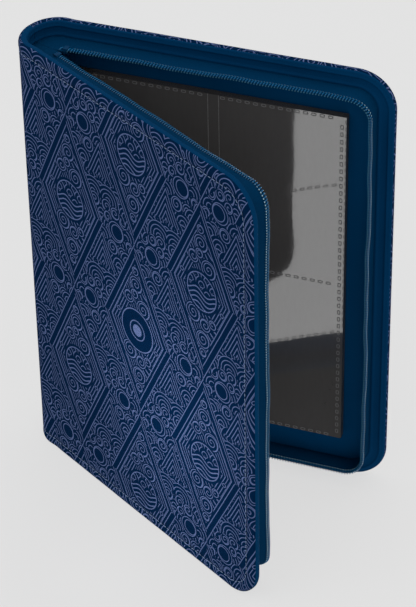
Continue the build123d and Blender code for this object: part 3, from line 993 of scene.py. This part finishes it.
def make_filler(side):
    """The soft cord that fills the coil, so that it looks solid between its turns."""
    line, ways, _ = chain_line(side)
    ring = full_circle(12)
    out = unit(ways)
    height = FILLER_HEIGHT * np.sin(ring)[None, :]
    depth = wall_depth(COIL_MIDDLE - 0.0002 + FILLER_REACH * np.cos(ring), side)[None, :]
    forward = line[:, :1] + out[:, :1] * height
    up = line[:, 2:] + out[:, 1:] * height
    world = settle(forward, depth + 0 * forward, HEIGHT / 2 + up, side)
    piece = make_tube(f"{side}_coil_filler", world, np.stack([forward, up], -1), MATERIALS["tape"])
    cross_fold(piece, side)


def dashes(name, side, centres, tangents, lifts, size, material):
    """A row of short stitches. Centres, tangents and lifts are in the closed album."""
    around, along = 6, 5
    length, width, height = size
    ring = full_circle(around)
    share = np.linspace(-1, 1, along)
    swell = np.sqrt(np.clip(1 - share**4, 0.02, 1))
    sideways = np.cross(tangents, lifts)
    points = (
        centres[:, None, None, :]
        + (share * length / 2)[None, :, None, None] * tangents[:, None, None, :]
        + (swell[:, None] * np.cos(ring)[None, :] * width / 2)[None, :, :, None] * sideways[:, None, None, :]
        + (swell[:, None] * np.sin(ring)[None, :] * height / 2)[None, :, :, None] * lifts[:, None, None, :]
    )
    world = settle(points[..., 0], points[..., 1], HEIGHT / 2 + points[..., 2], side)
    faces = []
    size = around * along
    for index in range(len(centres)):
        faces += grid_faces(along, around, first=index * size, close_columns=True)
        faces.append(tuple(range(index * size, index * size + around)))
        faces.append(tuple(range((index + 1) * size - around, (index + 1) * size))[::-1])
    piece = make_object(name, world, faces, points[..., [0, 2]], material)
    cross_fold(piece, side)
    return piece


def make_seam(side):
    """The stitched line around the outer face."""
    middle, outward, _, _ = edge_path(-SPINE_ARC + 0.0014, 0.001)
    across = middle + (CORNER - STITCH_INSET) * outward
    run = distances(across)
    at = np.arange(0.001, run[-1], SEAM_PITCH)

    def closed(distance, below=0.0):
        along, up = sample(distance, run, across).T
        forward, sideways = wrap(along, np.full(len(along), SEAM_SINK + below), side)
        return np.stack([forward, sideways, up], -1)

    centres = closed(at)
    tangents = unit(closed(at + NEARBY) - closed(at - NEARBY))
    lifts = unit(centres - closed(at, MM))
    name = f"{side}_seam_stitches"
    piece = dashes(name, side, centres, tangents, lifts, SEAM_STITCH, MATERIALS["seam_thread"])


def make_coil_stitches(side):
    """The thread that holds the coil to the tape, seen on both faces."""
    line, ways, run = chain_line(side)
    at = np.arange(0.006, run[-1] - 0.006, COIL_PITCH)
    face = np.repeat([1.0, -1.0], len(at))
    at = np.tile(at, 2)
    out = unit(sample(at, run, ways))
    lifts = np.stack([out[:, 0], 0 * at, out[:, 1]], -1) * face[:, None]
    tangents = unit(sample(at + NEARBY, run, line) - sample(at - NEARBY, run, line))
    centres = sample(at, run, line) + lifts * STITCH_LIFT
    centres[:, 1] = wall_depth(COIL_MIDDLE - 0.0009, side)
    name = f"{side}_coil_stitches"
    piece = dashes(name, side, centres, tangents, lifts, COIL_STITCH, MATERIALS["coil_thread"])


def make_lining(side):
    """The inner cloth of one cover and its half of the spine."""
    reach = PANEL - TAPE_INSET + 0.0002
    tall = HEIGHT / 2 - TAPE_INSET + 0.0002
    x = np.concatenate([np.linspace(-SPINE_ARC, 0.010, 34), np.linspace(0.014, reach, 30)])
    y = np.linspace(-tall, tall, 60)
    along, up = np.meshgrid(x, y)
    crease = np.exp(-((along / CREASE_REACH) ** 2))
    sag = CLOTH_RUFFLE * ruffle(along * 0.7 + up * 0.4, 1.3) * (1 - crease)
    points = place(along, up, LINING + sag - CREASE_RISE * crease, side)
    piece = make_cloth(f"{side}_lining_cloth", points, along, up, MATERIALS["lining"])
    cross_fold(piece, side)
    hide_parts(*([f"{side}_cover_lining"] + (["spine_lining"] if side == "back" else [])))


# ---------------------------------------------------------------- leaves, from a leaf's own fold, in metres
CORE_HALF = 0.00008
FILM_TOP = 0.00015
FILM_SWELL = 0.00014
LIP_HALF = 0.00014
LEAF_EDGE = 0.1452
POCKET_START = 0.0105
OUTER_WELD = 0.1429
MOUTHS = (0.0735, 0.0792)
MARK_LENGTH = 0.0027
MARK_WIDTH = 0.0018
MARK_RIM = ((0.0, 0.0), (0.00005, 0.00011), (0.00042, 0.00011), (0.00049, 0.00001))
MARK_PITCH = 0.0043


def pillow(low, high, bottom, top, base, puff):
    """A shallow swelling sheet over one pocket."""
    gx, gz = np.meshgrid(np.linspace(0, 1, 14), np.linspace(0, 1, 18))
    dome = np.sin(math.pi * gx) ** 1.6 * np.sin(math.pi * gz) ** 1.6
    wrinkle = 1 + 0.15 * np.sin(gx * 7 + gz * 3) * np.sin(gz * 9 + gx * 2)
    height = base + puff * dome * wrinkle
    return low + (high - low) * gx, bottom + (top - bottom) * gz, height


def make_leaf(number, joint, side):
    """One leaf: core sheet, pocket films and the pressed weld marks on them."""
    node = f"leaf_{number:02d}"
    pivot = np.array(joint["pos_m"])
    if side == "back":
        direction, normal, fold = np.array([1.0, 0, 0]), np.array([0, -1.0, 0]), BACK_FOLD
    else:
        direction = np.array([math.cos(2 * HALF), -math.sin(2 * HALF), 0])
        normal = np.array([math.sin(2 * HALF), math.cos(2 * HALF), 0])
        fold = FRONT_FOLD
    shift = float(np.dot(pivot - fold, direction))
    low, high = (corner.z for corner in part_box(node))
    open_face = number in (10, 11)
    points, faces, uvs, slots = [], [], [], []

    def put(x, z, n, new_faces, slot):
        first = sum(len(block) for block in points)
        flat = np.stack([np.ravel(x), np.ravel(z), np.ravel(n)], -1)
        world = pivot * np.array([1, 1, 0]) + flat[:, :1] * direction + flat[:, 2:] * normal
        world = world + flat[:, 1:2] * np.array([0, 0, 1.0])
        points.append(world)
        uvs.append(flat[:, :2])
        faces.extend(tuple(first + index for index in face) for face in new_faces)
        slots.extend([slot] * len(new_faces))

    def slab(x0, x1, z0, z1, n0, n1, slot):
        x = [x0, x1, x1, x0] * 2
        z = [z0, z0, z1, z1] * 2
        n = [n0] * 4 + [n1] * 4
        box = [(3, 2, 1, 0), (4, 5, 6, 7), (0, 1, 5, 4), (1, 2, 6, 5), (2, 3, 7, 6), (3, 0, 4, 7)]
        put(x, z, n, box, slot)

    slab(0.00005, LEAF_EDGE - shift, low, high, -CORE_HALF, CORE_HALF, 0)
    seam = (low + high) / 2 - 0.0007
    columns = ((POCKET_START - shift, MOUTHS[0] - shift), (MOUTHS[1] - shift, LEAF_EDGE - shift))
    slab(MOUTHS[0] - shift, MOUTHS[1] - shift, low, high, CORE_HALF, CORE_HALF + 0.00003, 1)
    for face in (-1, 1):
        shown = open_face and face > 0
        for x0, x1 in columns:
            slab(x0, x1, low, high, face * CORE_HALF, face * (FILM_TOP - 0.00002), 1)
            if not shown:
                continue
            for z0, z1 in ((low + 0.0021, seam - 0.0009), (seam + 0.0009, high - 0.0022)):
                inner = (x0 + 0.0026, x1) if x0 < MOUTHS[0] - shift - 0.01 else (x0, x1 - 0.0034)
                gx, gz, gn = pillow(*inner, z0, z1, FILM_TOP, FILM_SWELL)
                put(gx, gz, gn, grid_faces(*gx.shape), 1)
        # a turned lip along each mouth, its pale grey partly a painted glint
        if shown:
            for x in (MOUTHS[0] - shift, MOUTHS[1] - shift):
                slab(x - LIP_HALF, x + LIP_HALF, low, high, FILM_TOP - 0.00003, FILM_TOP + 0.00012, 2)
            marks(put, low, high, seam, shift)
    piece = make_object(
        f"{node}_sheet", np.concatenate(points), faces, np.concatenate(uvs), MATERIALS["core"], False
    )
    for key in ("film", "lip", "weld"):
        piece.data.materials.append(MATERIALS[key])
    piece.data.polygons.foreach_set("material_index", slots)
    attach(piece, node)
    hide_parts(node)


def marks(put, low, high, seam, shift):
    """Rows of small rounded rims, raised a tenth of a millimetre, where the films are welded."""
    places = []
    for x in (OUTER_WELD - shift, POCKET_START + 0.0012 - shift):
        for z in np.arange(low + 0.0045, high - 0.003, MARK_PITCH):
            places.append((x, z, 1))
    spans = ((POCKET_START + 0.003, MOUTHS[0] - 0.001), (MOUTHS[1] + 0.002, OUTER_WELD - 0.002))
    for z in (low + 0.0011, seam, high - 0.0012):
        for x0, x1 in spans:
            for x in np.arange(x0, x1, MARK_PITCH):
                places.append((x - shift, z, 0))
    around = 16
    ring = full_circle(around)
    bow = [np.sign(wave) * abs(wave) ** 0.6 for wave in (np.cos(ring), np.sin(ring))]
    for x, z, upright in places:
        half_x, half_z = MARK_WIDTH / 2, MARK_LENGTH / 2
        if not upright:
            half_x, half_z = half_z, half_x
        rows_x = [x + bow[0] * (half_x - off) for off, _ in MARK_RIM]
        rows_z = [z + bow[1] * (half_z - off) for off, _ in MARK_RIM]
        rows_n = [np.full(around, FILM_TOP + lift) for _, lift in MARK_RIM]
        put(rows_x, rows_z, rows_n, grid_faces(4, around, close_columns=True), 3)
        put(rows_x[3], rows_z[3], rows_n[3], [tuple(range(around))], 1)


# ---------------------------------------------------------------- the scene
def dress_cad():
    """Give the CAD pieces that stay their materials."""
    dress = {
        "board": ["back_cover_board", "front_cover_board", "spine_insert"],
        "foam": ["back_cover_foam", "front_cover_foam"],
        "lining": ["binding_strip"],
        "stop": ["back_zip_stops", "front_zip_stops"],
        "metal": ["zip_slider_body", "zip_pull_tab"],
    }
    for key, names in dress.items():
        for name in names:
            mesh = frame["nodes"][name].data
            mesh.materials.clear()
            mesh.materials.append(MATERIALS[key])


def add_floor():
    """A wide pale floor."""
    reach = 30.0
    mesh = bpy.data.meshes.new("studio_floor")
    corners = [(-reach, -reach, 0), (reach, -reach, 0), (reach, reach, 0), (-reach, reach, 0)]
    mesh.from_pydata(corners, [], [(0, 1, 2, 3)])
    mesh.materials.append(floor_material())
    floor = bpy.data.objects.new("studio_floor", mesh)
    bpy.context.scene.collection.objects.link(floor)
    floor.visible_glossy = False


add_camera()
add_world()
add_floor()
add_area("key", (-0.9, -1.3, 1.7), (0.0, 0.0, 0.12), (1.4, 1.4), 6.0)
add_area("fill", (1.6, -0.9, 1.0), (0.0, 0.0, 0.12), (1.2, 1.2), 3.0)
add_area("top", (0.1, 0.4, 1.8), (0.0, 0.0, 0.1), (1.6, 1.6), 7.0)
add_area("glow", (-0.040, -0.115, 0.085), (0.011, -0.031, 0.085), (0.05, 0.13), 0.023, 95, False)

for side in ("back", "front"):
    make_skin(side)
    make_edge_cloth(side)
    make_tape(side)
    make_coil(side)
    make_filler(side)
    make_coil_stitches(side)
    make_seam(side)
    make_lining(side)
for number in range(1, 21):
    make_leaf(number, JOINTS[f"leaf_{number:02d}_turn"], "back" if number <= 10 else "front")
dress_cad()
